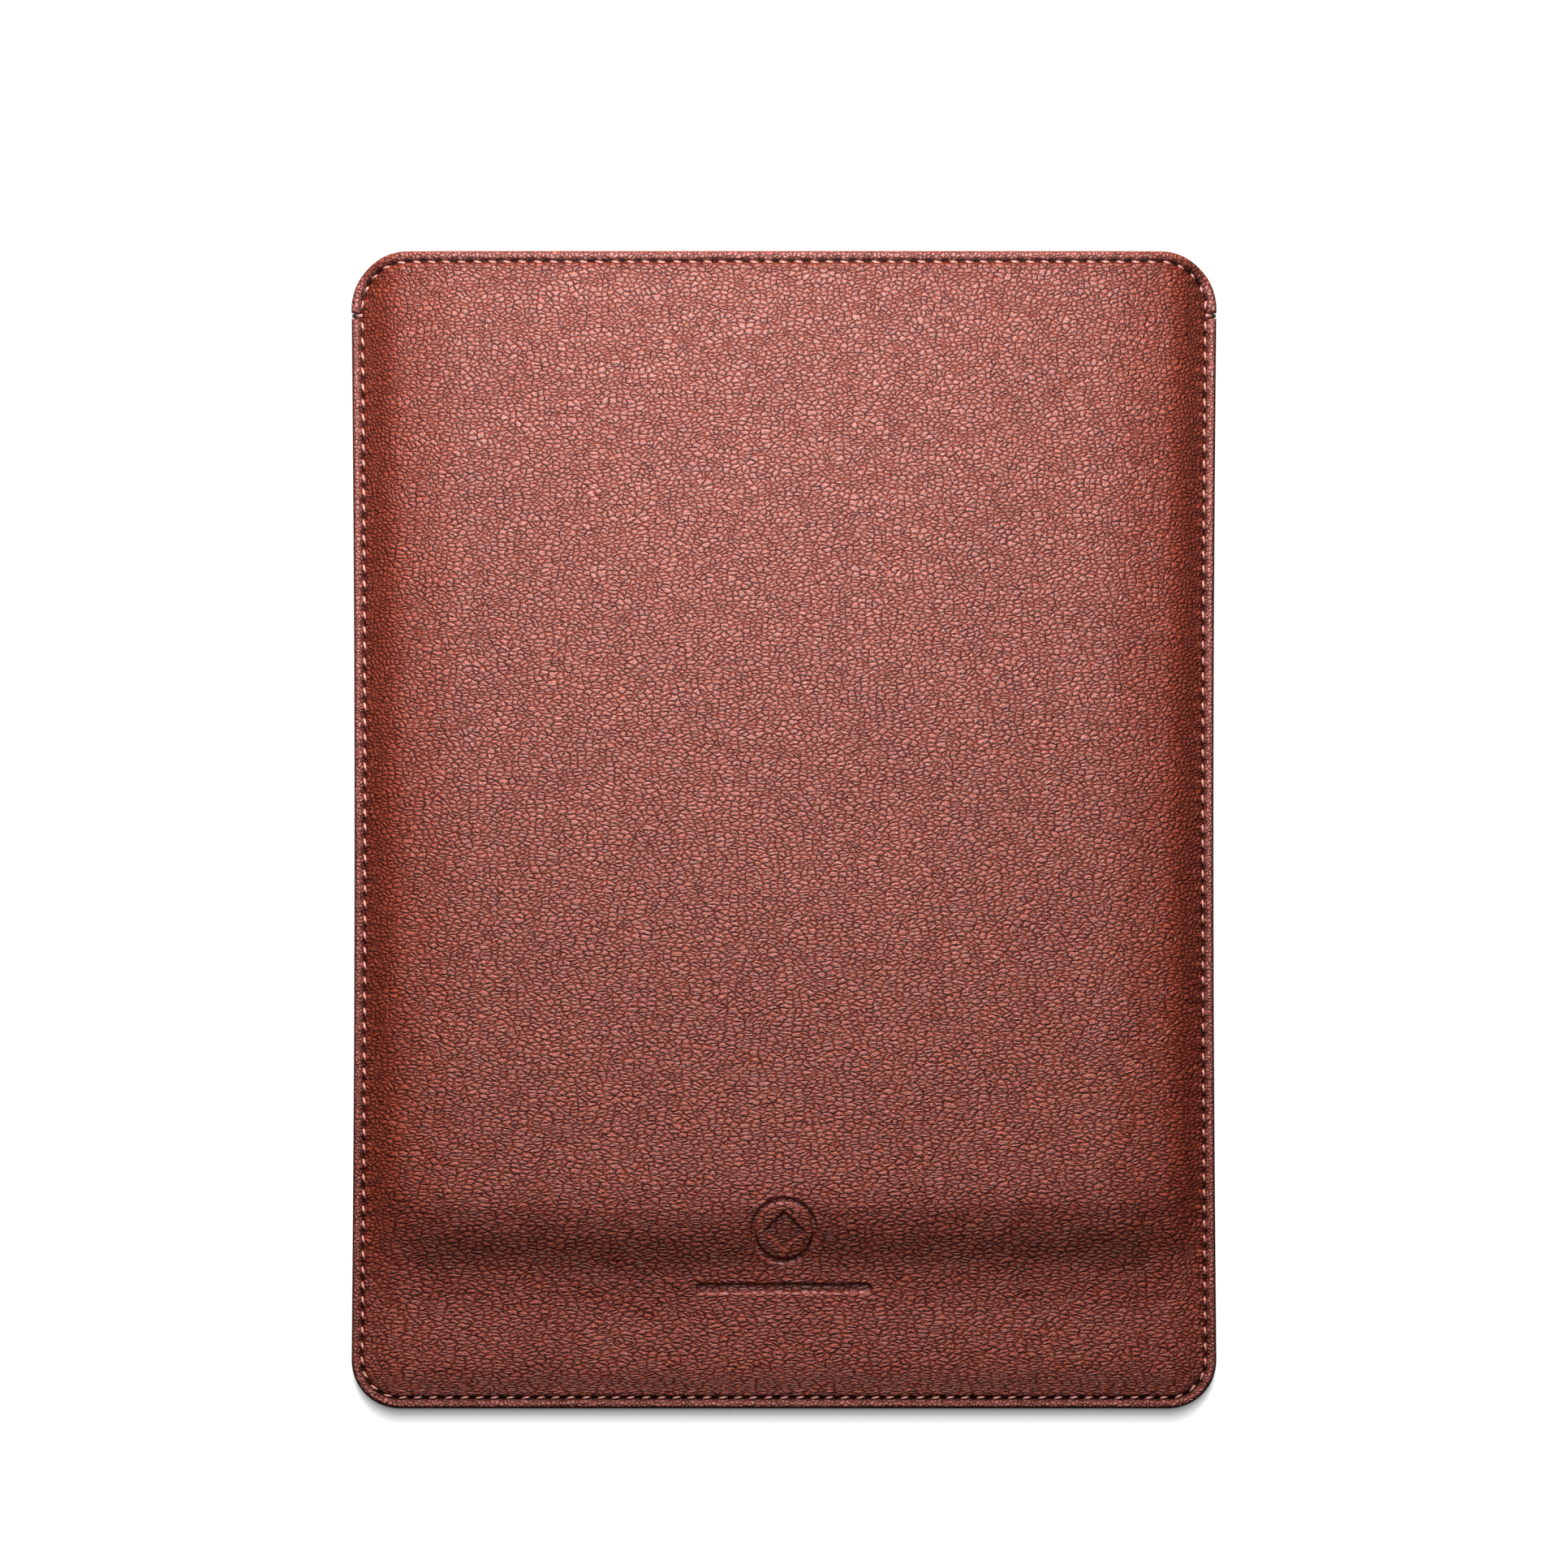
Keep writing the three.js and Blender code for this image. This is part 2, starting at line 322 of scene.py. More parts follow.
def mesh_object(name, points, faces, **attributes):
    """A smooth mesh of four-sided faces, drawn in slightly at the waist."""
    points = np.array(points, float).reshape(-1, 3)
    share = (points[:, 1] + HALF_LENGTH) / (2 * HALF_LENGTH)
    points[:, 0] *= 1 - WAIST / HALF_WIDTH * np.sin(math.pi * np.clip(share, 0, 1))
    faces = np.asarray(faces, np.int32).reshape(-1, 4)
    mesh = bpy.data.meshes.new(name)
    mesh.vertices.add(len(points))
    mesh.vertices.foreach_set("co", points.ravel().astype(np.float32))
    mesh.loops.add(faces.size)
    mesh.loops.foreach_set("vertex_index", faces.ravel())
    mesh.polygons.add(len(faces))
    mesh.polygons.foreach_set("loop_start", np.arange(0, faces.size, 4, dtype=np.int32))
    for key, values in attributes.items():
        values = np.asarray(values, np.float32)
        kind, field = ("FLOAT_VECTOR", "vector") if values.ndim > 1 else ("FLOAT", "value")
        mesh.attributes.new(key, kind, "POINT").data.foreach_set(field, values.ravel())
    mesh.update(calc_edges=True)
    mesh.validate()
    mesh.shade_smooth()
    made = bpy.data.objects.new(name, mesh)
    bpy.context.scene.collection.objects.link(made)
    return made


def graded(stops, steps):
    """Positions from the first stop to the last, with a step of its own between each two."""
    runs = [
        np.linspace(a, b, max(2, round((b - a) / step) + 1))[:-1]
        for a, b, step in zip(stops, stops[1:], steps)
    ]
    return np.concatenate([*runs, [stops[-1]]])


def sheet_grid(xs, ys, keep):
    """The kept points of a grid and its four-sided faces, which all look up."""
    x, y = np.meshgrid(xs, ys)
    inside = keep(x, y)
    full = inside[:-1, :-1] & inside[:-1, 1:] & inside[1:, 1:] & inside[1:, :-1]
    used = np.zeros_like(inside)
    for rows in (slice(None, -1), slice(1, None)):
        for columns in (slice(None, -1), slice(1, None)):
            used[rows, columns] |= full
    number = np.cumsum(used).reshape(used.shape) - 1
    corners = [number[:-1, :-1], number[:-1, 1:], number[1:, 1:], number[1:, :-1]]
    return x[used], y[used], np.stack([c[full] for c in corners], -1)


def closed_sheet(faces, count, face):
    """The faces of an outer skin, an inner skin and the walls that join them."""
    outer = faces if face == FRONT else faces[:, ::-1]
    starts = outer.ravel()
    ends = np.roll(outer, -1, 1).ravel()
    lone = ~np.isin(starts * count + ends, ends * count + starts)
    a, b = starts[lone], ends[lone]
    walls = np.stack([b, a, a + count, b + count], -1)
    return np.concatenate([outer, outer[:, ::-1] + count, walls])


def swept(rings):
    """The points and faces of rings joined one to the next, with both ends closed."""
    steps, around = rings.shape[:2]
    i, j = np.meshgrid(np.arange(steps - 1), np.arange(around), indexing="ij")
    a, b = i * around + j, i * around + (j + 1) % around
    sides = np.stack([a, b, b + around, a + around], -1).reshape(-1, 4)
    half = around // 2
    k = np.arange(half - 1)
    cap = np.stack([k, around - 1 - k, around - 2 - k, k + 1], -1)
    last_cap = cap[:, ::-1] + (steps - 1) * around
    return rings.reshape(-1, 3), np.concatenate([sides, cap, last_cap])


def joined(parts):
    """Several lists of points and faces as one."""
    points, faces, count = [], [], 0
    for these_points, these_faces in parts:
        points.append(these_points)
        faces.append(these_faces + count)
        count += len(these_points)
    return np.concatenate(points), np.concatenate(faces)


# ---- The leather panels --------------------------------------------------------------


def pressed_mark(x, y):
    """How deeply the plain pressed mark is sunk, from 0 to 1: a ring, a diamond and a bar."""
    up = y - EMBLEM_Y
    ring = np.abs(np.hypot(x, up) - RING_RADIUS) - RING_HALF_WIDTH
    diamond = (np.abs(x) + np.abs(up) - DIAMOND_REACH) / math.sqrt(2)
    bar_x = np.maximum(np.abs(x) - BAR_HALF_LENGTH, 0)
    bar = np.hypot(bar_x, y - BAR_Y) - BAR_HALF_WIDTH
    outside = np.minimum(np.minimum(ring, diamond), bar)
    return smooth(0.5 - outside / (2 * PRESS_SOFTNESS))


def skin_reach():
    """The extra length of the leather over the shoulder, by the distance from the seam."""
    distance = np.linspace(0, 40 * MM, 801)
    extra = np.hypot(1, shoulder(distance)[1]) - 1
    return distance, np.cumsum(extra[::-1])[::-1] * (distance[1] - distance[0])


REACH = skin_reach()


def skin_place(x, y):
    """Where a point of a panel was on the flat hide, so that the grain isn't stretched."""
    side = np.interp(HALF_WIDTH - np.abs(x), *REACH)
    foot = np.interp(HALF_LENGTH + y, *REACH)
    return np.stack([x + np.sign(x) * side, y - foot, np.zeros_like(x)], -1)


def twice(values):
    """The same values for the outer skin's points and for the inner skin's."""
    return np.concatenate([values, values])


def leather_panel(name, face, xs, ys):
    """A panel, drawn down into the stitching ditch round its edge and puckered there."""
    x, y, faces = sheet_grid(xs, ys, lambda x, y: from_edge(x, y) > PANEL_INSET)
    edge = from_edge(x, y)
    in_ditch = 1 - smooth((edge - DITCH_EDGE) / DITCH_WALL)
    pull = 0.5 + 0.5 * np.cos(2 * math.pi * edge_run(x, y))
    pucker = smooth((edge - PUCKER_START) / PUCKER_RISE)
    pucker *= 1 - smooth((edge - PUCKER_END) / PUCKER_FALL)
    pressed = pressed_mark(x, y) if face == FRONT else np.zeros_like(x)
    dip = in_ditch * DITCH_DEPTH + pucker * (pull - 0.75) * PUCKER_DEPTH + pressed * PRESS_DEPTH
    # The back rests at z = 0, so its puckers only reach inwards.
    outer = np.maximum(at_depth(face, x, y, dip), 0)
    inner = at_depth(face, x, y, LEATHER)
    points = np.concatenate([np.stack([x, y, z], -1) for z in (outer, inner)])
    return mesh_object(
        name,
        points,
        closed_sheet(faces, len(x), face),
        skin=twice(skin_place(x, y)),
        pressed=twice(pressed),
        # The ditch value is painted shade: dark in the stitching ditch and a little in the
        # puckers.
        ditch=twice(in_ditch + 0.2 * pucker * pull),
    )


# The grids are finest where a surface turns or is pressed: stops along each side, and steps.
EDGE_ZONE = 17 * MM
DITCH_ZONE = 5.5 * MM
MARK_ZONE = 26 * MM
MARK_BELOW = 5 * MM
MARK_ABOVE = 11 * MM
FINE, CLOSE, MEDIUM, COARSE = 0.28 * MM, 0.32 * MM, 0.8 * MM, 1.6 * MM
SIDE_STOPS = [-HALF_WIDTH, DITCH_ZONE - HALF_WIDTH, EDGE_ZONE - HALF_WIDTH]
FOOT_STOPS = [-HALF_LENGTH, DITCH_ZONE - HALF_LENGTH, EDGE_ZONE - HALF_LENGTH]
MOUTH_STOPS = [NOTCH_Y, HALF_LENGTH - DITCH_ZONE, HALF_LENGTH]


def mirrored(stops):
    """Stops on the left, and the same ones on the right."""
    return [*stops, *(-stop for stop in reversed(stops))]


front_leather = leather_panel(
    "front_leather",
    FRONT,
    graded(
        mirrored([*SIDE_STOPS, -MARK_ZONE]),
        [FINE, MEDIUM, MEDIUM, CLOSE, MEDIUM, MEDIUM, FINE],
    ),
    graded(
        [*FOOT_STOPS, BAR_Y - MARK_BELOW, EMBLEM_Y + MARK_ABOVE, *MOUTH_STOPS],
        [FINE, MEDIUM, MEDIUM, CLOSE, MEDIUM, CLOSE, FINE],
    ),
)
back_leather = leather_panel(
    "back_leather",
    BACK,
    graded(mirrored(SIDE_STOPS), [FINE, MEDIUM, COARSE, MEDIUM, FINE]),
    graded([*FOOT_STOPS, *MOUTH_STOPS], [FINE, MEDIUM, COARSE, CLOSE, FINE]),
)


# ---- The felt linings ----------------------------------------------------------------


def felt_lining(name, face):
    """A lining, pressed flat in the seams and stopped short of the binding at the mouth."""
    step, wide_step = 0.9 * MM, 2.4 * MM
    xs = graded(mirrored(SIDE_STOPS), [step / 2, step, wide_step, step, step / 2])
    ys = graded([*FOOT_STOPS, *MOUTH_STOPS], [step / 2, step, wide_step, step / 2, step / 2])
    mouth_inset = RIM_WIDTH + PANEL_INSET

    def keep(x, y):
        return from_edge(x, y) > np.where(y < NOTCH_Y, PANEL_INSET, mouth_inset)

    x, y, faces = sheet_grid(xs, ys, keep)
    outer = at_depth(face, x, y, LEATHER + GAP / 2)
    inner = at_depth(face, x, y, LEATHER + GAP + FELT)
    # In the seam the two linings are pressed flat against each other.
    inner = face * np.maximum(face * inner, face * SEAM_Z + GAP / 2)
    points = np.concatenate([np.stack([x, y, z], -1) for z in (outer, inner)])
    return mesh_object(name, points, closed_sheet(faces, len(x), face), skin=points)


front_felt = felt_lining("front_felt", FRONT)
back_felt = felt_lining("back_felt", BACK)


# ---- The bindings --------------------------------------------------------------------


def unevenness(run, seed):
    """A slow, slight irregularity along an edge, about from -1 to 1."""
    places = run / MM
    return (
        np.sin(places / 7.3 + seed)
        + np.sin(places / 3.1 + 2 * seed)
        + 0.6 * np.sin(places / 1.3 + 3 * seed)
    ) / 2.6


def quarter(steps):
    """Sines and one-minus-cosines of a quarter turn."""
    angle = np.linspace(0, math.pi / 2, steps)
    return np.sin(angle), 1 - np.cos(angle)


def rim_section(height, low, high):
    """A folded edge's section: insets and heights out over one side, and back in between.

    The first two are one side, from its outermost point over the crest to the ditch. The
    last two are the four points of the inner side, which the fold hides.
    """
    rise, go = quarter(8)
    over, fall = quarter(6)
    to_ditch = RIM_WIDTH + RIM_OVERLAP - RIM_CREST
    inset = np.concatenate([RIM_CREST * go, RIM_CREST + to_ditch * over[1:]])
    up = np.concatenate([height * rise, height - RIM_FALL * fall[1:]])
    inner_inset = np.array([RIM_WIDTH, RIM_TUCK, RIM_TUCK, RIM_WIDTH])
    return inset, up, inner_inset, np.array([low, low, high, high])


def bound_edge(name, edge, section, height):
    """A binding swept along an edge. height(x, y, up) says where its section stands."""
    total = edge_lengths(edge)[2]
    run = np.linspace(0, total, round(total / (0.7 * MM)))
    line, inward = edge_point(edge, run)
    inset, up, inner_inset, inner_up = section
    around_inset = np.concatenate([inset[::-1], inset[1:], inner_inset])
    around_up = np.concatenate([up[::-1], -up[1:], inner_up])
    is_outer = np.arange(len(around_inset)) < len(around_inset) - len(inner_inset)
    near_ditch = smooth((around_inset - 1.2 * MM) / (1.4 * MM)) * is_outer

    # The thread pulls the fold in beside the ditch, once a stitch, and no fold is quite even.
    run = run[:, None]
    pull = 0.5 + 0.5 * np.cos(2 * math.pi * run / PITCH[edge])
    swell = 1 - 0.16 * pull * near_ditch + 0.03 * unevenness(run, 1) * is_outer
    insets = around_inset + 0.12 * MM * (0.5 - pull) * near_ditch
    insets = insets + 0.05 * MM * unevenness(run, 4) * (insets > RIM_WIDTH / 3)
    insets = np.maximum(insets, 0)
    x = line[:, :1] + (insets - STITCH_INSET) * inward[:, :1]
    y = line[:, 1:] + (insets - STITCH_INSET) * inward[:, 1:]
    points, faces = swept(np.stack([x, y, height(x, y, around_up * swell)], -1))

    across = np.diff(around_inset, prepend=around_inset[0])
    upward = np.diff(around_up, prepend=around_up[0])
    girth = np.cumsum(np.hypot(across, upward))
    skin = np.stack([*np.broadcast_arrays(run, girth), np.zeros_like(x)], -1)
    # Painted shade on the fold's side down into the ditch, deepest where the thread pulls it in.
    shade = near_ditch * is_outer * (0.35 + 0.65 * pull)
    return mesh_object(
        name,
        points,
        faces,
        skin=skin.reshape(-1, 3),
        ditch=shade.ravel(),
        pressed=np.zeros(x.size),
    )


def over_both(x, y, up):
    """Heights off the seam's plane, where one fold covers both faces."""
    return SEAM_Z + up


def over_one(face):
    """Heights off the middle of one lip's thickness, never below the ground."""

    def height(x, y, up):
        middle = at_depth(face, x, y, LIP_MIDDLE)
        return np.maximum(middle + face * up * along(x, y), 0)

    return height


seam_section = rim_section(SEAM_BULGE, RIM_TUCK - EDGE_HEIGHT, EDGE_HEIGHT - RIM_TUCK)
lip_section = rim_section(LIP_BULGE, -0.5 * MM, 0.4 * MM)
seam_binding = bound_edge("seam_edge", SEAM, seam_section, over_both)
front_mouth = bound_edge("front_mouth_edge", MOUTH, lip_section, over_one(FRONT))
back_mouth = bound_edge("back_mouth_edge", MOUTH, lip_section, over_one(BACK))


# ---- The stitches --------------------------------------------------------------------


def twisted(line, radius):
    """A short two-ply thread along a line of points, as rings."""
    steps, around = len(line), 10
    tangent = np.gradient(line, axis=0)
    tangent /= np.linalg.norm(tangent, axis=1, keepdims=True)
    side = np.cross(tangent, [0, 0, 1.0])
    side /= np.linalg.norm(side, axis=1, keepdims=True) + 1e-12
    top = np.cross(side, tangent)
    angle = np.linspace(0, 2 * math.pi, around, endpoint=False)
    length = np.concatenate([[0], np.cumsum(np.linalg.norm(np.diff(line, axis=0), axis=1))])
    ply = 1 + PLY_SWELL * np.cos(2 * (angle - length[:, None] * 2 * math.pi / PLY_LENGTH))
    ends = np.sqrt(np.clip(1 - (np.linspace(-1, 1, steps)) ** 8, 0.15, 1))
    reach = radius * ply * ends[:, None]
    sideways = np.cos(angle)[:, None] * side[:, None]
    upwards = np.sin(angle)[:, None] * top[:, None]
    return line[:, None] + reach[:, :, None] * (sideways + upwards)


def stitches(name, edge, height):
    """A row of stitches, each rising out of one needle hole and down into the next."""
    share = np.linspace(0, 1, 13)
    arch = np.sin(math.pi * share) ** 0.7
    rows = []
    for i in range(STITCHES[edge]):
        jitter = 0.04 * math.sin(12.9 * i) + 0.03 * math.sin(7.7 * i + 1)
        run = (i + 0.5 + STITCH_SHARE * (share - 0.5) + jitter) * PITCH[edge]
        line, inward = edge_point(edge, run)
        slant = STITCH_SLANT * (share - 0.5) + 0.03 * MM * math.sin(3.1 * i)
        x, y = (line + slant[:, None] * inward).T
        z = height(x, y, (arch - 1) * STITCH_DROP)
        rows.append(swept(twisted(np.stack([x, y, z], -1), THREAD_RADIUS)))
    points, faces = joined(rows)
    return mesh_object(name, points, faces, skin=points)


def over_seam(face):
    """Stitch heights over the sewn edge."""
    top = EDGE_HEIGHT - 0.12 * MM
    return lambda x, y, arch: SEAM_Z + face * (top + arch)


def over_lip(face, depth, inside):
    """Stitch heights on one lip, on its outer face or on its inner face."""
    turn = -1 if inside else 1
    return lambda x, y, arch: at_depth(face, x, y, depth - turn * arch)


# Each row of stitches: the CAD node it stands for, its edge and its heights.
FRONT_NEEDLE_DEPTH = 0.4 * MM
BACK_NEEDLE_DEPTH = 0.45 * MM
BOBBIN_DEPTH = 1.95 * MM
stitch_rows = {
    "seam_needle_stitches": (
        "side_seam_needle_thread", SEAM, over_seam(FRONT)
    ),
    "seam_bobbin_stitches": (
        "side_seam_bobbin_thread", SEAM, over_seam(BACK)
    ),
    "front_mouth_needle_stitches": (
        "front_mouth_needle_thread", MOUTH, over_lip(FRONT, FRONT_NEEDLE_DEPTH, False)
    ),
    "front_mouth_bobbin_stitches": (
        "front_mouth_bobbin_thread", MOUTH, over_lip(FRONT, BOBBIN_DEPTH, True)
    ),
    "back_mouth_needle_stitches": (
        "back_mouth_needle_thread", MOUTH, over_lip(BACK, BACK_NEEDLE_DEPTH, False)
    ),
    "back_mouth_bobbin_stitches": (
        "back_mouth_bobbin_thread", MOUTH, over_lip(BACK, BOBBIN_DEPTH, True)
    ),
}
threads = {name: stitches(name, *row[1:]) for name, row in stitch_rows.items()}


def bar_tack(name, node, side):
    """Two turns of thread wrapped over the rim in the gap at a notch."""
    node_low, node_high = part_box(node)
    angle = np.linspace(-1, 1, 25) * TACK_WRAP
    # Past the rim's crest the thread runs further in, to its needle hole.
    bend = np.where(np.abs(angle) < math.pi / 2, 1.5, 2.2) * MM
    reach = THREAD_RADIUS + bend * (1 - np.cos(angle))
    x = side * (HALF_WIDTH - np.minimum(reach, STITCH_INSET + 0.1 * MM))
    z = SEAM_Z + (EDGE_HEIGHT - 0.9 * MM) * np.sin(angle)
    lean = 0.15 * MM * np.sin(angle)
    turns = []
    for share in TACK_SHARES:
        y = node_low.y + share * (node_high.y - node_low.y)
        turns.append(swept(twisted(np.stack([x, y + lean, z], -1), 0.7 * THREAD_RADIUS)))
    points, faces = joined(turns)
    return mesh_object(name, points, faces, skin=points)


left_tack = bar_tack("left_bar_tack", "left_notch_bar_tack", -1)
right_tack = bar_tack("right_bar_tack", "right_notch_bar_tack", 1)


# ---- Materials -----------------------------------------------------------------------


class Nodes:
    """A short way to write a node tree."""

    def __init__(self, name):
        self.material = bpy.data.materials.new(name)
        self.material.use_nodes = True
        self.tree = self.material.node_tree
        self.shader = self.tree.nodes["Principled BSDF"]

    def add(self, kind, output=0, inputs=(), **settings):
        """One node: its settings, its inputs by name or number, and the socket wanted from it."""
        made = self.tree.nodes.new(kind)
        for key, value in settings.items():
            setattr(made, key, value)
        for key, value in dict(inputs).items():
            self.feed(made.inputs[key], value)
        return made.outputs[output]

    def feed(self, socket, value):
        """A socket's value, or what is linked to it."""
        if isinstance(value, bpy.types.NodeSocket):
            self.tree.links.new(value, socket)
        else:
            socket.default_value = value

    def plus(self, a, b):
        return self.add("ShaderNodeMath", 0, {0: a, 1: b}, operation="ADD")

    def times(self, a, b):
        return self.add("ShaderNodeMath", 0, {0: a, 1: b}, operation="MULTIPLY")

    def vector(self, operation, a, b):
        return self.add("ShaderNodeVectorMath", 0, {0: a, 1: b}, operation=operation)

    def ramp(self, value, low, high, to_low=0.0, to_high=1.0):
        """A soft step of a value between two limits."""
        inputs = {"Value": value, 1: low, 2: high, 3: to_low, 4: to_high}
        return self.add("ShaderNodeMapRange", 0, inputs, interpolation_type="SMOOTHSTEP")

    def mix(self, share, a, b):
        """A colour between two colours."""
        inputs = {"Factor": share, 6: a, 7: b}
        return self.add("ShaderNodeMix", 2, inputs, data_type="RGBA")

    def attribute(self, name, output):
        return self.add("ShaderNodeAttribute", output, attribute_name=name)

    def noise(self, place, size, detail, output=0):
        """A cloudy pattern with lumps of about a size: its value, or its colour at output 1."""
        inputs = {"Vector": place, "Scale": 1 / size, "Detail": detail}
        return self.add("ShaderNodeTexNoise", output, inputs)

    def creases(self, place, size):
        """0 on the creases between pebbles of that size, rising towards their middles."""
        inputs = {"Vector": place, "Scale": 1 / size, "Randomness": 1.0}
        settings = {"feature": "DISTANCE_TO_EDGE", "voronoi_dimensions": "2D"}
        return self.add("ShaderNodeTexVoronoi", 0, inputs, **settings)

    def bump(self, height, depth, strength=1.0):
        """The normal of a surface raised by a height from 0 to 1 times a depth."""
        inputs = {"Height": height, "Distance": depth, "Strength": strength}
        return self.add("ShaderNodeBump", 0, inputs)


def colour(red, green, blue):
    """An sRGB colour, each part from 0 to 255, in linear light."""
    parts = [c / 255 for c in (red, green, blue)]
    return (*[c / 12.92 if c <= 0.04045 else ((c + 0.055) / 1.055) ** 2.4 for c in parts], 1)


def grain_place(n, long, stretch):
    """Where a leather's pebbles are laid out, and where its broad colour changes are.

    The layout drifts slowly and is ragged at the pebbles' own edges. It is drawn out across
    the hide by long, and less so towards the mouth by stretch for each millimetre.
    """
    place = n.attribute("skin", 1)
    drift = n.vector("SUBTRACT", n.noise(place, 8 * MM, 1, output=1), (0.5, 0.5, 0.5))
    ragged = n.vector("SUBTRACT", n.noise(place, 0.7 * MM, 1, output=1), (0.5, 0.5, 0.5))
    warped = n.vector("ADD", place, n.vector("MULTIPLY", drift, (3.0 * MM,) * 3))
    warped = n.vector("ADD", warped, n.vector("MULTIPLY", ragged, (0.45 * MM,) * 3))
    across = n.add("ShaderNodeSeparateXYZ", 0, {0: warped})
    down = across.node.outputs[1]
    squeeze = n.plus(n.times(down, stretch / MM), 1 / long)
    return place, n.add("ShaderNodeCombineXYZ", 0, {0: n.times(across, squeeze), 1: down})


def leather_colour(n, place, crease, pressed, ditch, top, worn):
    """Lighter where it is worn, deep brown in the creases and the mark, and darkest in the ditch.
    The creases' brown is partly the leather's dye and partly painted shade; the ditch's is
    painted shade.
    """
    deep = colour(58, 10, 5)
    mottle = n.ramp(n.noise(place, 22 * MM, 4), 0.3, 0.7)
    body = n.mix(n.times(mottle, 0.45), top, worn)
    faintness = n.ramp(n.noise(place, 2.5 * MM, 1), 0.35, 0.65, 0.15, 0.55)
    # Painted shade and dye: the creases are darkened towards deep brown.
    body = n.mix(n.ramp(crease, 0.0, 1.0, faintness, 1.0), deep, body)
    body = n.mix(n.times(pressed, 0.35), body, deep)
    # Painted shade in the stitching ditch and the puckers.
    return n.mix(n.times(ditch, 0.8), body, colour(46, 12, 9))


def leather_material(name, pebble, long, stretch, depth, top, worn):
    """Full-grain leather: raised pebbles, lighter on top, with dark creases between them, dark
    partly from the leather's dye and partly from painted shade.
    """
    n = Nodes(name)
    place, cell_place = grain_place(n, long, stretch)
    pressed = n.attribute("pressed", 2)
    # The painted shade of the stitching ditch, which also dulls its gloss.
    ditch = n.attribute("ditch", 2)

    grain = n.creases(cell_place, pebble)
    facets = n.creases(n.vector("ADD", cell_place, (0.3, 0.3, 0)), pebble * 0.42)
    wide_cells = n.vector("MULTIPLY", cell_place, (0.5, 1.1, 1))
    folds = n.ramp(n.creases(wide_cells, pebble * 2.7), 0.0, 0.04)
    dome = n.ramp(grain, 0.0, 0.4)
    pores = n.ramp(facets, 0.0, 0.3)

    height = n.plus(n.times(dome, 0.7), n.times(pores, 0.2))
    height = n.plus(height, n.times(folds, 0.25))
    flattened = n.plus(1.0, n.times(pressed, -0.75))
    n.feed(n.shader.inputs["Normal"], n.bump(n.times(height, flattened), depth))

    # The creases' darkening, partly dye and partly painted shade, a little deeper along the wide
    # folds.
    crease = n.times(n.ramp(grain, 0.0, 0.26), n.plus(n.times(folds, 0.3), 0.7))
    body = leather_colour(n, place, crease, pressed, ditch, top, worn)
    n.feed(n.shader.inputs["Base Color"], body)

    # Only the pebbles' tops are glossy, under a thin clear finish that evens them out.
    shine = n.times(n.ramp(grain, 0.02, 0.2), n.ramp(ditch, 0.0, 0.6, 1.0, 0.2))
    finish = n.plus(n.times(dome, 0.6), n.times(pores, 0.4))
    n.feed(n.shader.inputs["Roughness"], n.ramp(shine, 0.0, 1.0, 0.7, 0.36))
    n.feed(n.shader.inputs["Coat Weight"], shine)
    n.feed(n.shader.inputs["Coat Normal"], n.bump(finish, depth * 0.16))
    n.shader.inputs["Specular IOR Level"].default_value = 0.08
    n.shader.inputs["Coat Roughness"].default_value = 0.45
    return n.material


def felt_material():
    """Grey wool felt: matted short fibres, a little lighter where they stand up."""
    n = Nodes("wool_felt")
    place = n.attribute("skin", 1)
    fibres = n.noise(n.vector("MULTIPLY", place, (1, 0.35, 1)), 0.5 * MM, 6)
    clumps = n.noise(place, 3 * MM, 3)
    shade = n.plus(n.times(fibres, 0.6), n.times(clumps, 0.4))
    body = n.mix(n.ramp(shade, 0.35, 0.65), colour(104, 103, 101), colour(158, 157, 153))
    n.feed(n.shader.inputs["Base Color"], body)
    n.feed(n.shader.inputs["Normal"], n.bump(shade, 0.4 * MM, 0.8))
    n.shader.inputs["Roughness"].default_value = 0.95
    n.shader.inputs["Sheen Weight"].default_value = 0.35
    return n.material


def thread_material():
    """Waxed thread in the leather's own colour, slightly shiny, in lighter and darker fibres."""
    n = Nodes("waxed_thread")
    fibres = n.noise(n.attribute("skin", 1), 0.18 * MM, 3)
    body = n.mix(n.ramp(fibres, 0.3, 0.7), colour(152, 86, 74), colour(216, 152, 138))
    n.feed(n.shader.inputs["Base Color"], body)
    n.feed(n.shader.inputs["Normal"], n.bump(fibres, 0.05 * MM, 0.7))
    n.shader.inputs["Roughness"].default_value = 0.42
    return n.material


leather = leather_material(
    "pebbled_leather",
    pebble=1.12 * MM,
    long=1.85,
    stretch=0.0008,
    depth=0.95 * MM,
    top=colour(147, 58, 39),
    worn=colour(164, 71, 48),
)
# The folded edges are lighter than the panels: painted light that brightens the rounded rims,
# which the lamps light less.
edge_leather = leather_material(
    "edge_leather",
    pebble=1.1 * MM,
    long=1.0,
    stretch=0.0,
    depth=0.7 * MM,
    top=colour(158, 76, 62),
    worn=colour(182, 100, 84),
)
felt = felt_material()
thread = thread_material()


# ---- What each piece is, and what it moves with --------------------------------------


def finished(piece, material, nodes, lip=False):
    """Gives a piece its material, hides the CAD nodes it stands for, and fastens it to the root,
    or for a piece of the front lip bakes its placing into its mesh.
    """
    piece.data.materials.append(material)
    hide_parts(*nodes)
    if lip:
        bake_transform(piece)
    else:
        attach(piece, "root")


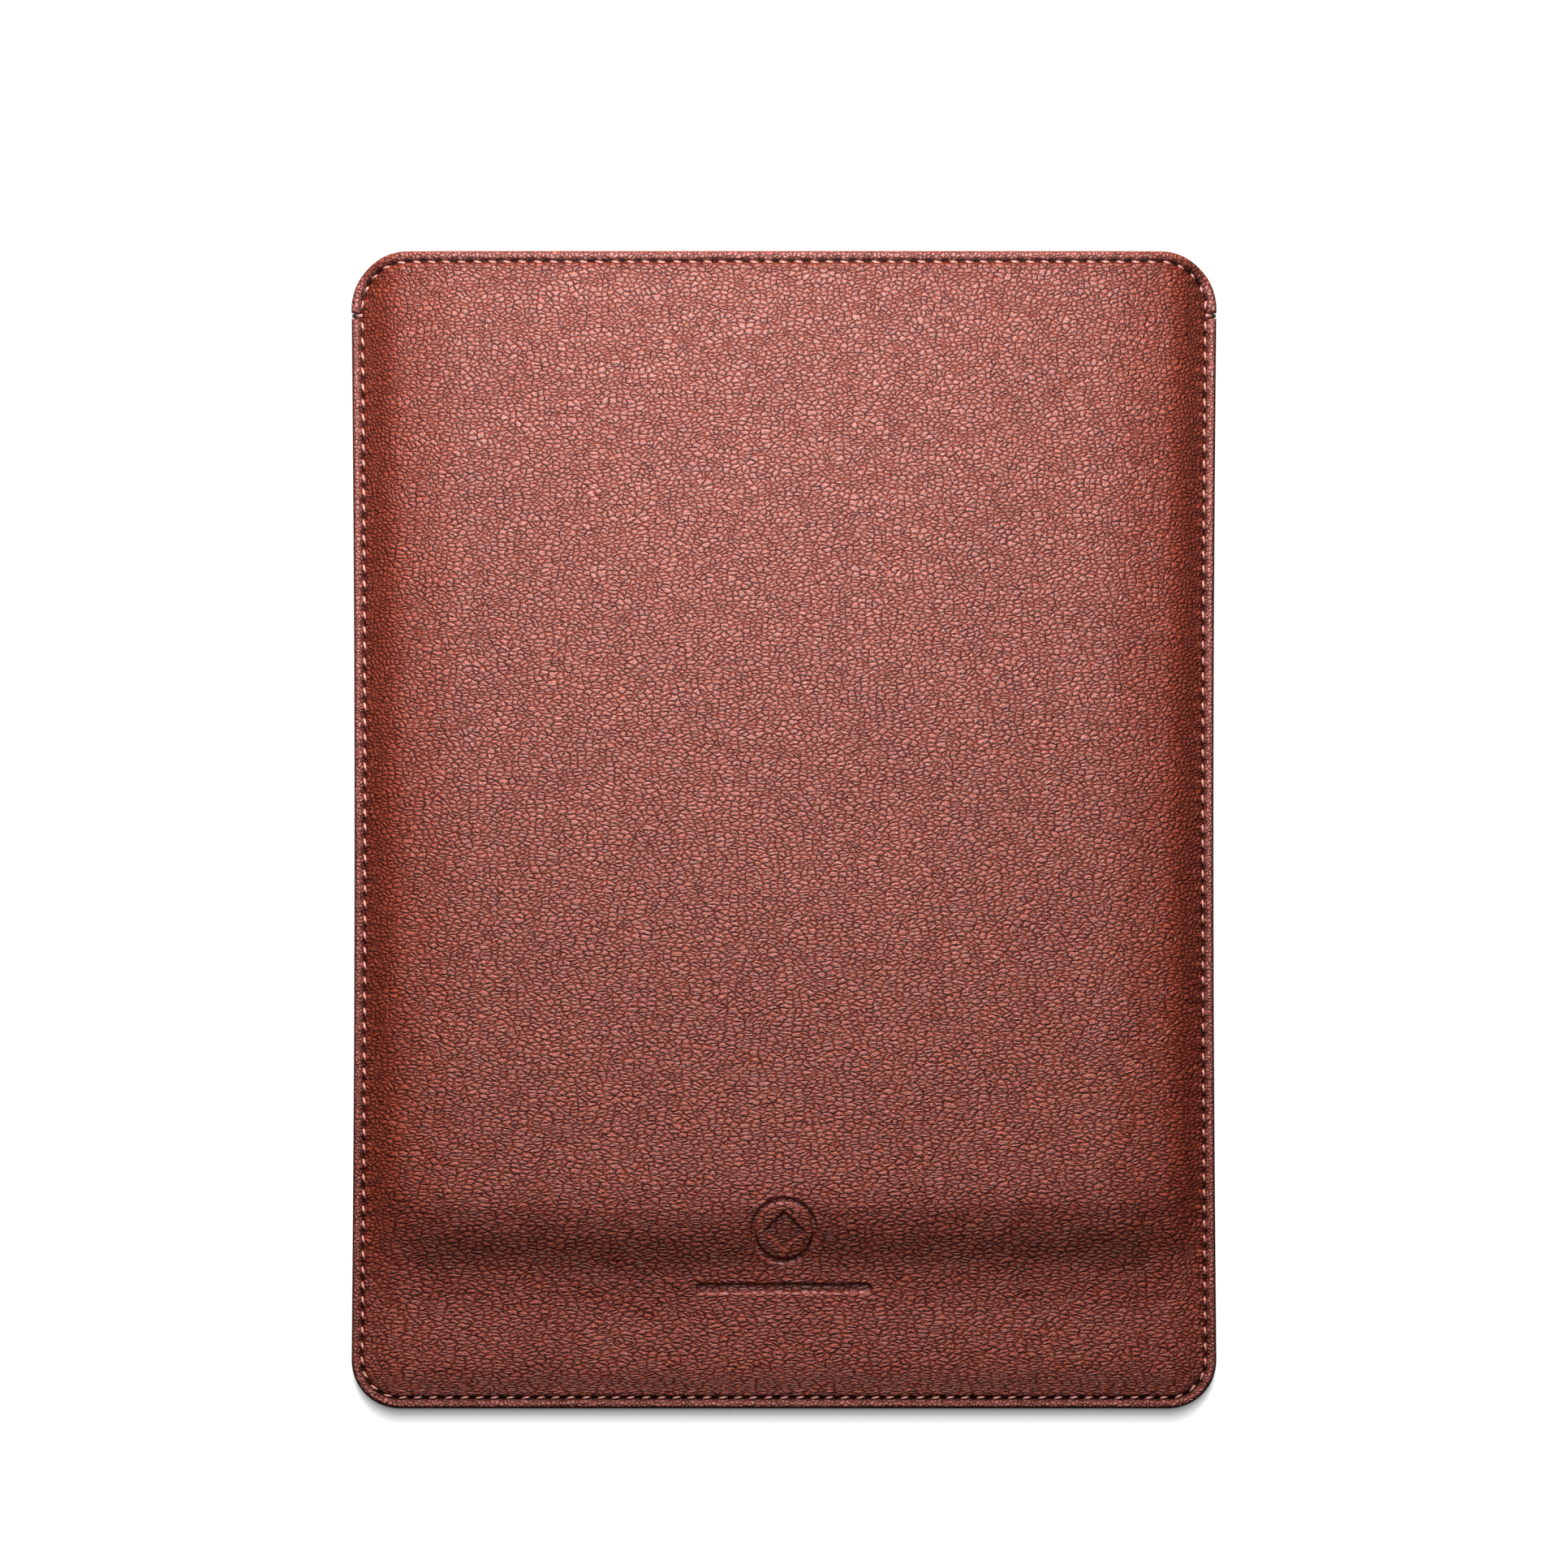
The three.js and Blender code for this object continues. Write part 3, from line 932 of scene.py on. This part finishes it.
finished(front_leather, leather, ["front_leather_panel", "front_lip_leather"], lip=True)
finished(back_leather, leather, ["back_leather_panel"])
finished(front_felt, felt, ["front_felt_lining", "front_lip_felt"], lip=True)
finished(back_felt, felt, ["back_felt_lining"])
finished(seam_binding, edge_leather, ["side_and_foot_binding"])
finished(front_mouth, edge_leather, ["front_mouth_binding"], lip=True)
finished(back_mouth, edge_leather, ["back_mouth_binding"])
for name, (node, *_) in stitch_rows.items():
    finished(threads[name], thread, [node], lip=name.startswith("front"))
finished(left_tack, thread, ["left_notch_bar_tack"])
finished(right_tack, thread, ["right_notch_bar_tack"])


# ---- Studio --------------------------------------------------------------------------

VIEW_WIDTH = 427.5 * MM
VIEW_CENTRE = (0, 12.7 * MM, SEAM_Z)
CAMERA_DISTANCE = 3.0


def camera():
    """A long lens straight above the sleeve, with the mouth at the top of the picture."""
    data = bpy.data.cameras.new("camera")
    data.sensor_width = 36
    data.lens = data.sensor_width * CAMERA_DISTANCE / VIEW_WIDTH
    data.clip_end = 10
    made = bpy.data.objects.new("camera", data)
    made.location = (VIEW_CENTRE[0], VIEW_CENTRE[1], VIEW_CENTRE[2] + CAMERA_DISTANCE)
    bpy.context.scene.collection.objects.link(made)
    bpy.context.scene.camera = made


def light(name, kind, power, place, target, **settings):
    """A light with its settings, turned so that its -Z faces its target."""
    data = bpy.data.lights.new(name, kind)
    data.energy = power
    for key, value in settings.items():
        setattr(data, key, value)
    made = bpy.data.objects.new(name, data)
    made.location = place
    direction = np.array(target) - np.array(place)
    x, y, z = direction / np.linalg.norm(direction)
    made.rotation_euler = (math.acos(-z), 0, math.atan2(-x, y))
    bpy.context.scene.collection.objects.link(made)
    return made


def softbox(name, power, place, target, size):
    """A square light that falls on everything but the floor."""
    made = light(name, "AREA", power, place, target, shape="SQUARE", size=size)
    only_for(made, ground, False)
    return made


def floor():
    """A wide, plain, pale floor."""
    half = 4.0
    corners = [(-half, -half, 0), (half, -half, 0), (half, half, 0), (-half, half, 0)]
    mesh = bpy.data.meshes.new("floor")
    mesh.from_pydata(corners, [], [(0, 1, 2, 3)])
    made = bpy.data.objects.new("floor", mesh)
    n = Nodes("pale_floor")
    n.shader.inputs["Base Color"].default_value = (0.9, 0.9, 0.9, 1)
    n.shader.inputs["Roughness"].default_value = 0.9
    mesh.materials.append(n.material)
    bpy.context.scene.collection.objects.link(made)
    made.visible_diffuse = False
    made.visible_glossy = False
    return made


def only_for(lamp, thing, includes):
    """Lets a light fall on nothing but a thing, or on everything but it."""
    group = bpy.data.collections.new(f"{lamp.name}_{'on' if includes else 'off'}")
    group.objects.link(thing)
    lamp.light_linking.receiver_collection = group
    group.collection_objects[0].light_linking.link_state = "INCLUDE" if includes else "EXCLUDE"


camera()
ground = floor()
world = bpy.data.worlds.new("studio")
world.use_nodes = True
world.node_tree.nodes["Background"].inputs["Color"].default_value = (1, 1, 1, 1)
world.node_tree.nodes["Background"].inputs["Strength"].default_value = 0.05
bpy.context.scene.world = world
bpy.context.scene.view_settings.view_transform = "Standard"

# The high light stands beyond the mouth and rakes across the grain, the near one brightens
# the half by the mouth, and the third shows there only as sheen.
LIGHT_X = -15 * MM
high = softbox("high_softbox", 16.7, (-0.06, 0.75, 0.42), (0, 0, 0), 0.3)
near = softbox("near_softbox", 0.7, (LIGHT_X, 0.11, 0.3), (LIGHT_X, 0.11, 0), 0.16)
sheen = softbox("sheen_softbox", 5.0, (LIGHT_X, 0.2, 0.33), (LIGHT_X, 0.165, 0), 0.2)
high.visible_glossy = False
near.visible_glossy = False
near.visible_camera = False
sheen.visible_diffuse = False
sheen.visible_camera = False

# The floor has three lights of its own, all tilted from the mouth's side, so that the shadow
# on it is soft and short and falls at the foot.
for tilt in (5, 13, 21):
    place = (0, math.tan(math.radians(tilt)), 1)
    sun = light(f"floor_sun_{tilt}", "SUN", 1.35, place, (0, 0, 0), angle=math.radians(8))
    only_for(sun, ground, True)
